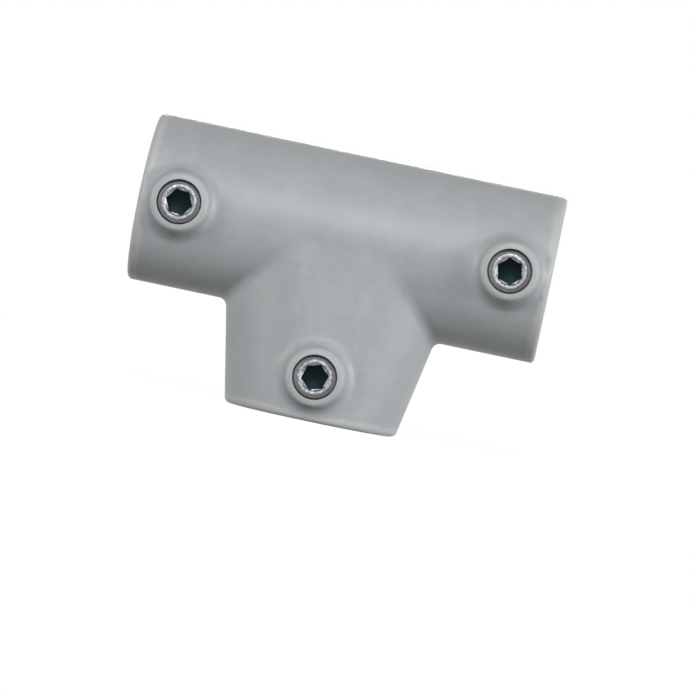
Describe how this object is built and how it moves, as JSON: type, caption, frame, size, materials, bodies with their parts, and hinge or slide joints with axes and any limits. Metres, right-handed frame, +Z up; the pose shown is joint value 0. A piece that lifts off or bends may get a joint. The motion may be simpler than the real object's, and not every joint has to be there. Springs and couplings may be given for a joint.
{
  "type": "tube clamp tee fitting",
  "caption": "Long tee for tube rails on a slope: a straight run for the rail and a flared leg that lets an upright lean, held by hexagon socket set screws.",
  "frame": {"origin": "where the run's axis crosses the leg's, at the middle of the run", "axes": "+X along the run, +Z up and away from the leg, -Y the way the set screws face"},
  "size_m": [0.14, 0.0621, 0.0912],
  "materials": {
    "galvanised_iron": "hot-dip galvanised casting, matt light grey",
    "plated_steel": "zinc plated, bright"
  },
  "bodies": {
    "casting": {"tee_casting": "galvanised_iron"},
    "left_screw": {"left_set_screw": "plated_steel"},
    "right_screw": {"right_set_screw": "plated_steel"},
    "leg_screw": {"leg_set_screw": "plated_steel"}
  },
  "joints": [
    {"name": "left_screw_travel", "type": "slide", "parent": "casting", "child": "left_screw", "axis": [0, 1, 0], "range_m": [-0.004, 0.0014]},
    {"name": "right_screw_travel", "type": "slide", "parent": "casting", "child": "right_screw", "axis": [0, 1, 0], "range_m": [-0.004, 0.0014]},
    {"name": "leg_screw_travel", "type": "slide", "parent": "casting", "child": "leg_screw", "axis": [0, 1, 0], "range_m": [-0.004, 0.0014]}
  ]
}
